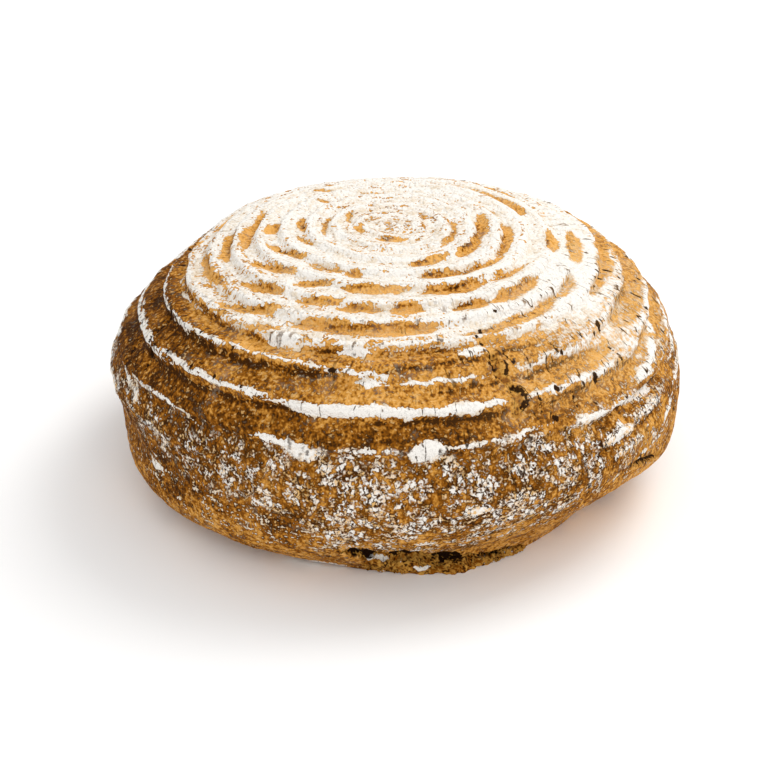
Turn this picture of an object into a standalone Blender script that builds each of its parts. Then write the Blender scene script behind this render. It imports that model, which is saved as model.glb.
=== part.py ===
"""A round sourdough loaf that proved in a coiled cane basket, baked free on a flat stone.

The loaf is one closed crust. It starts as a UV sphere whose every vertex is carried to its place on
the loaf by two coordinates: its azimuth round the crown, and its arc, the distance over the crust
from the middle of the crown. The basket's canes left concentric ridges, the oven left a burst foot
and a split shoulder.

Metres, +Z up. The origin is on the base, in the middle of the loaf's box.
"""

from math import atan2, cos, exp, hypot, pi, radians, sin

import bmesh
import bpy
from mathutils import Matrix, Vector

MM = 0.001

# Driving dimensions of the plain round form
WAIST_RADIUS = 120.0 * MM
BASE_RADIUS = 88.5 * MM
WAIST_HEIGHT = 47.0 * MM
DOME_HEIGHT = 63.0 * MM

# How the section rounds, outward and upward: 2 is an ellipse, more is flatter and less is more pointed
DOME_ROUNDING = (3.6, 1.48)
FOOT_ROUNDING = (1.2, 2.2)

# The free, uneven form. A level is a place down the section, 0 at the crown, 1 at the waist and 2 at
# the edge of the base. Each wave is its number of lobes, its height and the azimuth of one high side.
OUTWARD_WAVES = {
    0.45: ((1, 1.0 * MM, -81), (2, 3.5 * MM, 52), (3, 2.5 * MM, -9)),
    0.75: ((1, 2.5 * MM, 22), (2, 2.0 * MM, 40)),
    1.00: ((1, 2.5 * MM, 21), (2, 2.0 * MM, -42), (3, 1.0 * MM, 24)),
    1.50: ((1, 1.5 * MM, 24), (2, 3.0 * MM, 18), (3, 3.0 * MM, -10)),
    2.00: ((1, 1.0 * MM, -34), (2, 2.5 * MM, -68), (3, 3.0 * MM, 47)),
}
SHOULDER_WAVES = ((1, 1.5 * MM, -5),)

# Swells and hollows of the crust: azimuth and arc of the middle, half width in degrees and half
# length, and how far it stands out, or sinks in if below zero
SWELLS = (
    (158, 106 * MM, 20, 24 * MM, -2.0 * MM),
    (100, 76 * MM, 30, 22 * MM, -2.2 * MM),
    (-154, 138 * MM, 11, 14 * MM, 1.2 * MM),
    (-161, 163 * MM, 14, 9 * MM, -4.5 * MM),
    (-134, 200 * MM, 14, 12 * MM, -2.0 * MM),
    (-98, 208 * MM, 12, 9 * MM, -1.5 * MM),
    (-74, 208 * MM, 8, 9 * MM, 2.5 * MM),
    (-52, 208 * MM, 10, 9 * MM, -2.5 * MM),
    (-36, 190 * MM, 11, 14 * MM, -5.5 * MM),
    (-19, 172 * MM, 8, 9 * MM, 1.5 * MM),
)

# The ridges that the canes left, by arc: evenly over the dome, then further apart down the side
FIRST_RIDGE = 12.0 * MM
DOME_PITCH = 10.6 * MM
DOME_RIDGES = 9
SIDE_RIDGES = (112 * MM, 129 * MM, 144 * MM, 159 * MM)
RIDGE_HEIGHT = 1.4 * MM
RIDGE_FADE = 45 * MM

# How far up the foot the swells are held level, so that the base stays flat
LEVEL_FOOT = 8 * MM

# The mesh: columns round the loaf, and rows from the crown to the middle of the base
COLUMNS = 72
ROWS_PER_RIDGE = 4
FOOT_ROWS = 5
BASE_ROWS = 2

# The split down the front right shoulder, which ends in a torn hole: azimuth and arc of each stretch,
# its length, width and depth, and its turn away from straight downhill
SHOULDER_SPLIT = (
    (-66.5, 76 * MM, 18 * MM, 1.8 * MM, 1.4 * MM, 9),
    (-64.3, 90 * MM, 17 * MM, 2.0 * MM, 1.6 * MM, 12),
    (-63.0, 103 * MM, 16 * MM, 2.4 * MM, 2.0 * MM, 4),
    (-61.3, 116 * MM, 11 * MM, 4.5 * MM, 4.5 * MM, 0),
)

# The burst that runs down along the front of the foot: azimuth and height of each pocket, then its
# length along the foot, its opening and its depth, and how many degrees they all fall to the right
FOOT_BURST = (
    (-95.0, 18.0 * MM, 20 * MM, 4.0 * MM, 5.0 * MM),
    (-87.0, 16.0 * MM, 22 * MM, 5.5 * MM, 7.0 * MM),
    (-77.5, 11.5 * MM, 24 * MM, 7.5 * MM, 9.0 * MM),
    (-66.5, 8.0 * MM, 20 * MM, 5.0 * MM, 6.0 * MM),
    (-57.0, 5.0 * MM, 15 * MM, 3.0 * MM, 3.5 * MM),
)
BURST_SLOPE = 13
CUTTER_COLUMNS = 12
CUTTER_ROWS = 8

CRUST_COLOUR = (0.42, 0.20, 0.065, 1.0)
CRUST_ROUGHNESS = 0.78


def smoothstep(value):
    """0 below 0, 1 above 1, and level at both ends."""
    value = min(1.0, max(0.0, value))
    return value * value * (3 - 2 * value)


def section(level):
    """Radius and height of the plain round form at a level."""
    if level <= 1:
        angle = level * pi / 2
        radius = WAIST_RADIUS * sin(angle) ** (2 / DOME_ROUNDING[0])
        return radius, WAIST_HEIGHT + DOME_HEIGHT * max(0.0, cos(angle)) ** (2 / DOME_ROUNDING[1])
    angle = (level - 1) * pi / 2
    spread = max(0.0, cos(angle)) ** (2 / FOOT_ROUNDING[0])
    radius = BASE_RADIUS + (WAIST_RADIUS - BASE_RADIUS) * spread
    return radius, WAIST_HEIGHT * (1 - sin(angle) ** (2 / FOOT_ROUNDING[1]))


def measure_arcs(steps=2000):
    """The arc from the crown to each of many even levels."""
    arcs = [0.0]
    last = section(0.0)
    for step in range(1, steps + 1):
        here = section(2 * step / steps)
        arcs.append(arcs[-1] + hypot(here[0] - last[0], here[1] - last[1]))
        last = here
    return arcs


ARCS = measure_arcs()
FULL_ARC = ARCS[-1]


def level_at(arc):
    """The level that lies at an arc from the crown."""
    low, high = 0, len(ARCS) - 1
    while high - low > 1:
        middle = (low + high) // 2
        if ARCS[middle] < arc:
            low = middle
        else:
            high = middle
    part = (arc - ARCS[low]) / (ARCS[high] - ARCS[low])
    return 2 * (low + min(1.0, max(0.0, part))) / (len(ARCS) - 1)


def wave_height(waves, azimuth):
    """Sum of some waves at an azimuth in radians."""
    return sum(height * cos(lobes * (azimuth - radians(high))) for lobes, height, high in waves)


def outward_unevenness(level, azimuth):
    """How far the free form stands outside the round one."""
    levels = [0.0, *OUTWARD_WAVES]
    total = 0.0
    for index, here in enumerate(levels[1:], start=1):
        weight = smoothstep((level - levels[index - 1]) / (here - levels[index - 1]))
        if index + 1 < len(levels):
            weight *= 1 - smoothstep((level - here) / (levels[index + 1] - here))
        total += weight * wave_height(OUTWARD_WAVES[here], azimuth)
    return total


def free_form(arc, azimuth):
    """A point of the uneven form, without ridges or swells."""
    level = level_at(arc)
    radius, height = section(level)
    lift = height / (WAIST_HEIGHT + DOME_HEIGHT) * min(1.0, radius / WAIST_RADIUS) ** 1.5
    height += lift * wave_height(SHOULDER_WAVES, azimuth)
    radius += outward_unevenness(level, azimuth)
    return Vector((radius * cos(azimuth), radius * sin(azimuth), height))


def outward(arc, azimuth):
    """The direction straight out of the crust, and the direction downhill along it."""
    reach = 1.0 * MM
    turn = radians(1.0)
    downhill = free_form(min(FULL_ARC, arc + reach), azimuth) - free_form(max(0.0, arc - reach), azimuth)
    along = free_form(arc, azimuth + turn) - free_form(arc, azimuth - turn)
    return downhill.cross(along).normalized(), downhill.normalized()


def ridge_count(arc):
    """How many ridges lie between the crown and an arc, as a smooth number."""
    last_on_dome = FIRST_RIDGE + (DOME_RIDGES - 1) * DOME_PITCH
    if arc <= last_on_dome:
        return 1 + (arc - FIRST_RIDGE) / DOME_PITCH
    count, start = DOME_RIDGES, last_on_dome
    for ridge in SIDE_RIDGES:
        if arc <= ridge:
            return count + (arc - start) / (ridge - start)
        count, start = count + 1, ridge
    return count + (arc - start) / (SIDE_RIDGES[-1] - SIDE_RIDGES[-2])


def ridge_arc(count):
    """The arc at which a ridge count is reached."""
    low, high = 0.0, FULL_ARC
    for _ in range(40):
        middle = (low + high) / 2
        if ridge_count(middle) < count:
            low = middle
        else:
            high = middle
    return (low + high) / 2


def ridge_relief(arc):
    """Height of the cane ridges, which fade in at the crown and out towards the foot."""
    fade = smoothstep(arc / FIRST_RIDGE) * (1 - smoothstep((arc - SIDE_RIDGES[1]) / RIDGE_FADE))
    return RIDGE_HEIGHT / 2 * fade * cos(2 * pi * ridge_count(arc))


def swell_relief(arc, azimuth):
    """Height of the swells and hollows at a place on the crust."""
    total = 0.0
    for middle, middle_arc, width, length, height in SWELLS:
        turn = (azimuth - radians(middle) + pi) % (2 * pi) - pi
        total += height * exp(-(turn / radians(width)) ** 2 - ((arc - middle_arc) / length) ** 2)
    return total


def crust_point(arc, azimuth):
    """A point of the finished crust, with its ridges and swells. Near the base it only moves level."""
    move = outward(arc, azimuth)[0] * (ridge_relief(arc) + swell_relief(arc, azimuth))
    move.z *= 1 - smoothstep((arc - FULL_ARC + LEVEL_FOOT) / LEVEL_FOOT)
    return free_form(arc, azimuth) + move


def row_places():
    """For each row below the crown, its arc, and how much of the base's radius is left."""
    steps = (DOME_RIDGES + len(SIDE_RIDGES)) * ROWS_PER_RIDGE
    places = [(ridge_arc((step + 1) / ROWS_PER_RIDGE), 1.0) for step in range(steps)]
    start = places[-1][0]
    places += [(start + (FULL_ARC - start) * (row + 1) / FOOT_ROWS, 1.0) for row in range(FOOT_ROWS)]
    places += [(FULL_ARC, 1 - (row + 1) / (BASE_ROWS + 1)) for row in range(BASE_ROWS)]
    return places


def shape_crust(mesh):
    """Carries each vertex of a unit sphere to its place on the loaf."""
    places = row_places()
    for vertex in mesh.verts:
        polar = atan2(vertex.co.xy.length, vertex.co.z)
        row = round(polar / pi * (len(places) + 1))
        if row == 0:
            vertex.co = (0, 0, WAIST_HEIGHT + DOME_HEIGHT)
            continue
        if row > len(places):
            vertex.co = (0, 0, 0)
            continue
        azimuth = atan2(vertex.co.y, vertex.co.x)
        arc, inner = places[row - 1]
        point = crust_point(arc, azimuth)
        vertex.co = (point.x * inner, point.y * inner, 0.0 if arc == FULL_ARC else point.z)


def make_material():
    """Baked crust, a dull golden brown."""
    material = bpy.data.materials.new("Crust")
    material.use_nodes = True
    shader = material.node_tree.nodes["Principled BSDF"]
    shader.inputs["Base Color"].default_value = CRUST_COLOUR
    shader.inputs["Roughness"].default_value = CRUST_ROUGHNESS
    shader.inputs["Metallic"].default_value = 0.0
    material.diffuse_color = CRUST_COLOUR
    return material


def make_collection(name):
    """A new collection in the scene."""
    collection = bpy.data.collections.new(name)
    bpy.context.scene.collection.children.link(collection)
    return collection


def make_loaf(collection):
    """The crust, one closed solid with a flat base."""
    mesh = bmesh.new()
    bmesh.ops.create_uvsphere(mesh, u_segments=COLUMNS, v_segments=len(row_places()) + 1, radius=1.0)
    shape_crust(mesh)
    bmesh.ops.triangulate(mesh, faces=mesh.faces[:])
    bmesh.ops.recalc_face_normals(mesh, faces=mesh.faces[:])
    data = bpy.data.meshes.new("loaf")
    mesh.to_mesh(data)
    mesh.free()
    loaf = bpy.data.objects.new("loaf", data)
    loaf.data.materials.append(make_material())
    collection.objects.link(loaf)
    return loaf


def add_pocket(collection, name, middle, size, turn):
    """A cutter: an ellipsoid of the given size, at a place and with a turn."""
    mesh = bmesh.new()
    bmesh.ops.create_uvsphere(mesh, u_segments=CUTTER_COLUMNS, v_segments=CUTTER_ROWS, radius=0.5)
    bmesh.ops.scale(mesh, vec=size, verts=mesh.verts[:])
    data = bpy.data.meshes.new(name)
    mesh.to_mesh(data)
    mesh.free()
    pocket = bpy.data.objects.new(name, data)
    pocket.matrix_world = turn.to_4x4()
    pocket.location = middle
    pocket.hide_render = True
    pocket.display_type = "WIRE"
    collection.objects.link(pocket)
    return pocket


def crust_frame(arc, azimuth, twist):
    """A turn whose X runs downhill along the crust, Z straight out of it, twisted about Z."""
    out, downhill = outward(arc, azimuth)
    side = out.cross(downhill).normalized()
    turn = Matrix((downhill, side, out)).transposed()
    return turn @ Matrix.Rotation(radians(twist), 3, "Z")


def cut_shoulder_split(collection):
    """Cutters for the split that runs down the front right shoulder to a torn hole."""
    for index, (azimuth, arc, length, width, depth, twist) in enumerate(SHOULDER_SPLIT):
        angle = radians(azimuth)
        turn = crust_frame(arc, angle, twist)
        add_pocket(collection, f"split cutter {index}", crust_point(arc, angle), (length, width, 2 * depth), turn)


def foot_arc(height):
    """The arc at which the foot of the plain form reaches a height."""
    low, high = SIDE_RIDGES[-1], FULL_ARC
    for _ in range(40):
        middle = (low + high) / 2
        if section(level_at(middle))[1] > height:
            low = middle
        else:
            high = middle
    return (low + high) / 2


def cut_foot_burst(collection):
    """Cutters for the pockets where the foot burst open along its front."""
    for index, (azimuth, height, length, tall, depth) in enumerate(FOOT_BURST):
        angle = radians(azimuth)
        place = crust_point(foot_arc(height), angle)
        turn = Matrix.Rotation(angle, 3, "Z") @ Matrix.Rotation(radians(-BURST_SLOPE), 3, "X")
        add_pocket(collection, f"burst cutter {index}", place, (2 * depth, length, tall), turn)


def cut_with_collection(loaf, cutters):
    """Takes every cutter out of the loaf in one exact Boolean."""
    cut = loaf.modifiers.new("splits and burst", "BOOLEAN")
    cut.operation = "DIFFERENCE"
    cut.operand_type = "COLLECTION"
    cut.collection = cutters
    cut.solver = "EXACT"


def centre_on_base(objects):
    """Moves the objects so that the middle of the loaf's box stands over the origin."""
    xs = [vertex.co.x for vertex in objects[0].data.vertices]
    ys = [vertex.co.y for vertex in objects[0].data.vertices]
    shift = Vector(((min(xs) + max(xs)) / 2, (min(ys) + max(ys)) / 2, 0))
    for item in objects:
        item.location -= shift


def main():
    """Builds the loaf in an empty scene."""
    for item in list(bpy.data.objects):
        bpy.data.objects.remove(item, do_unlink=True)
    product = make_collection("Sourdough loaf")
    cutters = make_collection("Cutters")
    loaf = make_loaf(product)
    cut_shoulder_split(cutters)
    cut_foot_burst(cutters)
    cut_with_collection(loaf, cutters)
    centre_on_base([loaf, *cutters.objects])
    loaf.data.shade_smooth()


main()
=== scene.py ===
"""The looks of a round sourdough loaf that proved in a coiled cane basket.

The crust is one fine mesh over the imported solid. Every vertex has two coordinates: its azimuth round
the crown in degrees, and its arc over the crust from the middle of the crown. Counting the cane
ridges along the arc gives its ring, and the marks of flour and bare crust are placed by azimuth and
ring. The mesh carries them to the material as attributes.

Metres, +Z up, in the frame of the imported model.
"""

from math import cos, pi, radians, sin

import bmesh
import bpy
import numpy as np
from mathutils import Matrix, Vector, noise


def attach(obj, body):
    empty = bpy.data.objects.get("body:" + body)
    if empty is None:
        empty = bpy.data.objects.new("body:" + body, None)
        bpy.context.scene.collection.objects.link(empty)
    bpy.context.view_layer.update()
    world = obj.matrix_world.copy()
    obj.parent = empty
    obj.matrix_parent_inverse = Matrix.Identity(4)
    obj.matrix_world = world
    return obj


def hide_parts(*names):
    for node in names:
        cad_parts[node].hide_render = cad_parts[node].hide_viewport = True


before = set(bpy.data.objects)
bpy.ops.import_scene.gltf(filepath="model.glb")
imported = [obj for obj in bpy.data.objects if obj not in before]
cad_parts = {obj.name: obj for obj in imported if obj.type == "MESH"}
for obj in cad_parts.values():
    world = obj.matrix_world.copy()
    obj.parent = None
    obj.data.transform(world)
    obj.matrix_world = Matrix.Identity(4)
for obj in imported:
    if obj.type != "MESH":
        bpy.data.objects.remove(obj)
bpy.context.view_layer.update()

bl_info = {
    "name": "Sourdough loaf",
    "version": (1, 0, 0),
    "blender": (4, 5, 0),
    "location": "3D View > Sidebar > Loaf",
    "description": "Dresses a round floured loaf and its studio",
    "category": "Object",
}

MM = 0.001
LOAF_NODE = "loaf"
BODY = "root"

# The plain round form of the loaf, as in the solid
WAIST_RADIUS = 120.0 * MM
BASE_RADIUS = 88.5 * MM
WAIST_HEIGHT = 47.0 * MM
DOME_HEIGHT = 63.0 * MM
DOME_ROUNDING = (3.6, 1.48)
FOOT_ROUNDING = (1.2, 2.2)

# Its uneven form, as in the solid: level, then lobes, height in millimetres and azimuth of a high side
OUTWARD_WAVES = {
    0.45: ((1, 1.0, -81), (2, 3.5, 52), (3, 2.5, -9)),
    0.75: ((1, 2.5, 22), (2, 2.0, 40)),
    1.00: ((1, 2.5, 21), (2, 2.0, -42), (3, 1.0, 24)),
    1.50: ((1, 1.5, 24), (2, 3.0, 18), (3, 3.0, -10)),
    2.00: ((1, 1.0, -34), (2, 2.5, -68), (3, 3.0, 47)),
}
SHOULDER_WAVES = ((1, 1.5, -5),)
LEVEL_FOOT = 8 * MM

# Swells and hollows: azimuth and half width in degrees, then arc, half length and height in millimetres
SWELLS = (
    (158, 20, 106, 24, -2), (100, 30, 76, 22, -2.2), (-154, 11, 138, 14, 1.2), (-161, 14, 163, 9, -4.5),
    (-134, 14, 200, 12, -2), (-98, 12, 208, 9, -1.5), (-74, 8, 208, 9, 2.5), (-52, 10, 208, 9, -2.5),
    (-36, 11, 190, 14, -5.5), (-19, 8, 172, 9, 1.5),
)

# Arcs of the cane ridges: evenly over the dome, then further apart down the side
FIRST_RIDGE = 12.0 * MM
DOME_PITCH = 10.6 * MM
DOME_RIDGES = 9
SIDE_RIDGES = (112 * MM, 129 * MM, 144 * MM, 159 * MM)
SIDE_PITCH = 15 * MM

# Across a ridge, in shares of a ring from one drop to the next: where the hollow starts, how soon it is
# deepest, where it ends and how slowly. Then the crest, in the same way
RIDGE_HOLLOW = (0.0, 0.17, 0.22, 0.78)
RIDGE_CREST = (0.7, 0.22, 0.97, 0.06)
CREST_OVER = 0.04

# How far the ridges wander from even rings, as a share of a ring, by azimuth, and the ring where that
# starts to fade with the rings that the fade takes
RING_WANDER = (
    (-180, -0.08), (-150, 0.0), (-128, 0.1), (-103, -0.08), (-85, -0.22), (-65, -0.42), (-45, -0.55),
    (-30, -0.45), (-15, -0.22), (0, -0.1), (70, 0.12), (130, -0.12), (180, -0.08),
)
WANDER_FADE = (10.6, 1.2)

# Bare marks, where a cane kept the flour off: azimuth and ring at one end and at the other, and
# half width as a share of a ring
BARE_MARKS = (
    (-166, 3.6, -150, 3.1, 0.13), (-164, 4.7, -137, 4, 0.2), (-154, 5.65, -131, 4.9, 0.22),
    (-144, 6.5, -126, 5.9, 0.22), (-175, 7.3, -143, 6.9, 0.18), (-141, 7.6, -120, 6.7, 0.22),
    (-128, 8, -119, 7.65, 0.16), (-196, 3.45, -169, 3.2, 0.17), (-189, 4.4, -174, 4.65, 0.3),
    (-192, 5.5, -165, 5.55, 0.26), (-187, 6.2, -160, 6.4, 0.25), (-133, 4.3, -112, 4.15, 0.15),
    (-112, 4.2, -102, 4.3, 0.2), (-127, 5.5, -112, 4.9, 0.2), (-121, 6.3, -104, 5.9, 0.22),
    (-108, 5.2, -80, 5.3, 0.24), (-107, 6.3, -91, 6.35, 0.22), (-90, 6.4, -79, 6.5, 0.3),
    (-118, 7.4, -102, 6.95, 0.2), (-112, 7.3, -74, 7.5, 0.28), (-77, 4.5, -55, 4.7, 0.25),
    (-60, 4.8, -30, 4.85, 0.17), (-79, 3.55, -50, 3.5, 0.2), (-48, 3.7, -15, 3.5, 0.24),
    (-25, 3.45, 22, 3.55, 0.22), (-34, 4.75, 8, 4.3, 0.2), (-80, 5.6, -51, 5.8, 0.3),
    (-50, 5.85, -28, 5.8, 0.17), (-70, 6.75, -56, 6.8, 0.25), (-58, 6.95, -31, 6.6, 0.27),
    (-14, 6.25, 4, 6.1, 0.27), (-16, 7.15, 8, 7.1, 0.32), (-71, 8.15, -38, 8.05, 0.2),
    (-52, 7.95, -33, 7.8, 0.18), (-34, 7.85, -21, 7.5, 0.22), (-14, 8.45, 10, 8.2, 0.36),
    (-24, 8.5, -12, 8.4, 0.25), (-96, 8.6, -70, 8.65, 0.28), (-188, 8.4, -112, 8.4, 0.42),
    (-113, 8.4, -95, 8.5, 0.3), (-188, 9.4, -96, 9.4, 0.42), (-98, 9.25, -46, 9.3, 0.24),
    (-28, 9.6, 12, 9.5, 0.38), (-152, 10.45, -96, 10.5, 0.35), (-97, 10.62, -60, 10.65, 0.28),
    (-62, 10.7, -24, 10.65, 0.22), (-84, 9.93, -30, 10, 0.24), (-26, 10.5, 2, 10.4, 0.27),
    (-50, 11.45, -20, 11.45, 0.18), (-50, 12.2, -22, 12, 0.14), (-46, 2.7, 14, 2.2, 0.12),
    (20, 1.35, 44, 1.6, 0.1), (-202, 2.3, -160, 2.5, 0.12), (135, 1.9, 172, 1.4, 0.12),
    (-175, 1.1, -140, 1.1, 0.11), (90, 0.9, 124, 1.2, 0.1), (-112, 1.25, -60, 1.35, 0.16),
    (-44, 1.15, -14, 1.75, 0.06), (112, 4.05, 138, 5.7, 0.16), (127, 2.95, 139, 3.85, 0.16),
    (86, 3.1, 108, 3.6, 0.07), (77, 3.95, 94, 4.5, 0.07), (42, 4.1, 62, 3.85, 0.07),
    (16, 4.25, 40, 4, 0.15), (24, 3.15, 64, 3.1, 0.05), (112, 5.5, 124, 6.6, 0.07),
)

# Flour marks, which the ridges kept, in the same way
FLOUR_MARKS = (
    (-186, 7.95, -130, 7.72, 0.09), (-172, 8.3, -145, 8.22, 0.04), (-184, 8.98, -150, 9.05, 0.05),
    (-154, 9.05, -120, 8.75, 0.08), (-124, 8.76, -108, 8.86, 0.07), (-111, 8.86, -88, 9.28, 0.07),
    (-88, 9.45, -66, 9.55, 0.07), (-61.5, 9.57, -34, 9.62, 0.07), (-172, 9.85, -140, 9.9, 0.05),
    (-147, 9.8, -114, 9.92, 0.08), (-122, 9.95, -109, 10.05, 0.05), (-112.5, 10.1, -84, 10.2, 0.18),
    (-97, 10.2, -64, 10.26, 0.11), (-60, 10.33, -30, 10.33, 0.09), (-24, 10.12, 6, 10.05, 0.08),
    (-152, 10.95, -132, 11, 0.06), (-119, 10.93, -102, 11.12, 0.12), (-110, 11.17, -102.5, 11.27, 0.2),
    (-101, 11.08, -86, 11.05, 0.05), (-86.5, 11.12, -79, 11.14, 0.24), (-81, 11.06, -57, 11, 0.06),
    (-54, 11.16, -39, 11.2, 0.12), (-40, 11.2, -25, 11.5, 0.11), (-47, 11.97, -36, 11.88, 0.15),
    (-34, 11.83, -24, 11.72, 0.1), (-60, 11.95, -53, 11.95, 0.06), (-69, 12.55, -62, 12.55, 0.06),
    (-76, 12.7, -70, 12.7, 0.14), (-44, 12.4, -34, 12.25, 0.05), (-148, 13.35, -139, 13.13, 0.09),
    (-100, 8.02, -60, 8.28, 0.07), (-73, 8.75, -65, 8.95, 0.2), (-121, 8.05, -111, 7.92, 0.25),
    (-104, 8.3, -93, 8.3, 0.18), (-118, 12.9, -112, 12.85, 0.09), (-85, 13.9, -80, 13.95, 0.11),
    (-152, 11.3, -149, 11.5, 0.25), (-98, 9.3, -90, 9.45, 0.1), (-98, 14.3, -90, 15.45, 0.17),
    (-84, 15.85, -79, 15.95, 0.13), (-31, 11.05, -21, 10.85, 0.14), (-24, 10.95, -15, 10.55, 0.17),
    (-28, 12.5, -18, 12.2, 0.1), (-162, 11, -150, 11.4, 0.07), (-156, 11.7, -145, 12, 0.06),
    (-15, 10.5, -9, 10.2, 0.2), (-13, 11.5, 6, 11.3, 0.08), (-17, 11.95, 4, 11.75, 0.08),
    (-10, 10.95, 8, 10.8, 0.07), (-36, 12.9, -24, 12.6, 0.05), (-150, 15.3, -118, 15.75, 0.07),
    (-120, 15.95, -99, 16.2, 0.08),
)

# Across a bare mark, from -1 at its uphill edge to 1: its groove, and the painted shade under the ridge
GROOVE_WALL = (-1.05, 0.35, -0.35, 1.4)
RIDGE_SHADE_EDGE = (-1.1, 0.3, -0.75, 0.5)

# How floured the crust is between marks: ring, and the cover in millimetres inside its edge, with the
# least in a bare mark and the most anywhere
COVER_BY_RING = (
    (0, 0.4), (2.5, 0.75), (3.5, 0.95), (5, 1.0), (7.6, 0.8), (8.1, 0.1), (8.7, -1.1), (9.2, -2.0),
    (10.8, -2.0), (11.1, -0.9), (13.6, -0.95), (14.8, -1.3), (16, -1.7),
)
BARE_COVER = -2.0
THICK_COVER = 2.4

# Sides with more or less flour: azimuth and half width, then the ring where it starts, how softly, the
# ring where it ends, how softly, and the cover that it adds
DUSTY_SIDE = (-22, 32)
DUSTY_RINGS = (6.0, 1.5, 10.1, 1.5)
DUSTY_COVER = 2.7
# The left shoulder's thinner flour is partly painted shade
THIN_SIDE = (-152, 46)
THIN_RINGS = (3.5, 1.5, 8.0, 0.6)
THIN_COVER = -0.3
HEAVY_SIDE = (-96, 44)
HEAVY_RINGS = (11.1, 0.3, 14.2, 0.8)
HEAVY_COVER = 0.35

# Sides with darker or paler crust, and the side that cracked most: azimuth and half width
# The left is baked darker and partly painted shade, the right baked paler and partly painted light
DARK_LEFT = (-165, 48)
DARK_FRONT = (-92, 34)
PALE_RIGHT = (-25, 30)
CRACKED_RIGHT = (-25, 55)

# The dark band in front: its ring and half width
FRONT_BAND = (10.55, 0.5)

# The flour that crackled as the side swelled: azimuth, with the rings where it starts and ends
CRACKLE_REACH = (
    (-180, 11.2, 12.2), (-166, 11.4, 12), (-150, 10.9, 12.2), (-128, 11, 12.5), (-112, 11, 12.8),
    (-104, 11, 13.3), (-97, 11, 14.7), (-78, 11, 14.9), (-66, 11, 14.4), (-54, 10.9, 13.3),
    (-40, 11, 12.5), (-30, 11.1, 12.1), (-20, 11.4, 11.5), (20, 11.4, 11.6), (50, 11, 12.6),
    (140, 11, 12.8), (180, 11.2, 12.4),
)
CRACKLE_FADE = 0.5

# Where the crust tore down to the crumb: azimuth, then arc, half width and depth in millimetres
TEARS = (
    (
        (-66.2, 97, 0.3, 0.3), (-64.4, 101, 1.7, 0.7), (-63.8, 106, 2.1, 0.8), (-63, 110.5, 1, 0.7),
        (-62.2, 114, 2.2, 1.6), (-62.2, 119, 2.2, 1.6), (-63.2, 122.5, 0.8, 0.8),
    ),
    ((-37, 159, 0.8, 1.2), (-32, 162, 1.3, 2.2), (-25, 167, 1, 1.6)),
)

# Dark cracks, in the same way without a depth
CRACKS = (
    ((-65.8, 100, 0.25), (-65.6, 103, 0.3), (-65, 107, 0.35), (-63.6, 110, 0.2)),
    ((-61.7, 102.5, 0.6), (-62.4, 107, 0.9)),
    ((-62.6, 112.3, 0.6), (-60.7, 113.6, 0.8), (-60.4, 117, 1), (-61.2, 120, 0.9), (-62.2, 122, 0.4)),
    ((-63.4, 112.5, 0.1), (-64.3, 117, 0.15), (-64.1, 121, 0.1)), ((-67.3, 88, 0.3), (-65.5, 93, 0.5)),
    ((-65.2, 95.5, 0.3), (-64.4, 100, 0.5)), ((-61.2, 98, 0.3), (-60, 103.5, 0.5)),
    ((-48, 98, 0.3), (-47.5, 105, 0.5)), ((-32.8, 99, 0.35), (-31.5, 106, 0.5)),
    ((-32.5, 113, 0.45), (-31.8, 119.5, 0.6)), ((-49, 120.5, 0.5), (-48.6, 127, 0.4)),
    ((-57.5, 117, 0.4), (-57.3, 124, 0.5)), ((-153.2, 96, 0.7), (-153.2, 104, 0.6), (-152.6, 109, 0.5)),
    ((-152.6, 109, 0.5), (-151.6, 116, 0.8), (-150.4, 124, 0.4)),
    ((-162, 108, 0.4), (-160, 122, 0.6), (-157, 132, 0.4)),
    ((-36.5, 160, 0.5), (-31, 163.5, 0.9), (-26, 167, 0.6)),
)

# Deep pits: azimuth, then arc, half width, half length downhill and depth in millimetres
DEEP_PITS = (
    (-102.5, 97.5, 1.9, 1.3, 1.8), (-46.5, 106, 0.8, 1.6, 1.2), (-52.5, 117.5, 1.4, 1.7, 1.6),
    (-55, 127.5, 1.5, 1.5, 1.6), (-41.5, 119.5, 1.3, 2.6, 1.6), (-34, 105, 0.8, 1.6, 1.3),
    (-64.6, 87, 0.9, 1.4, 1.1), (-57.5, 80, 0.9, 1, 1), (-10, 114, 1.3, 1.3, 1.4), (-9, 127, 1, 2.4, 1.5),
    (2.5, 110, 1.2, 1.2, 1.2), (-154, 98, 1.5, 2.2, 2), (-152, 117, 1.4, 2, 1.6), (-127, 95.5, 1, 1.1, 1),
    (-138, 94.5, 0.9, 1.2, 1), (-144, 108.5, 0.9, 1.5, 1), (-135, 108.5, 0.8, 1.4, 1),
    (-128, 109, 0.9, 1.6, 1), (-121, 109.5, 0.9, 1.3, 1),
)

# The burst along the front of the foot: azimuth, then height, length, opening and depth of each pocket
FOOT_BURST = (
    (-94, 17, 20, 8, 4), (-87, 12.5, 24, 12, 5), (-78, 7.5, 24, 10, 5.5), (-67, 4, 22, 6, 4),
    (-58.5, 2.4, 15, 3.6, 3),
)
BURST_SLOPE = 13

# Hollows under the lip of the burst, painted black as shade, in the same way
FOOT_HOLLOWS = (
    (-93.5, 15.4, 19, 5, 1.2), (-87, 12.2, 16, 5.6, 1.4), (-80.5, 9.8, 12, 4, 1), (-76.5, 7, 18, 7, 2),
    (-64, 3.6, 20, 3.6, 1.2),
)

# The torn foot below the burst: azimuths of its ends and its height at the left and at the right, how
# soft its ends are, as a share of its length, and its upper edge
TORN_FOOT = (-98, -52, 19 * MM, 4 * MM)
TORN_ENDS = (0.0, 0.08, 0.92, 0.08)
TORN_EDGE = 3 * MM

# Small pits, drawn with a seed: how many, and the limits of what each of the deep pits' columns holds
PIT_COUNT = 60
PIT_SEED = 11
PIT_LIMITS = ((-15, 200), (85, 150), (0.7, 1.2), (1.0, 3.4), (0.7, 1.5))

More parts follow.
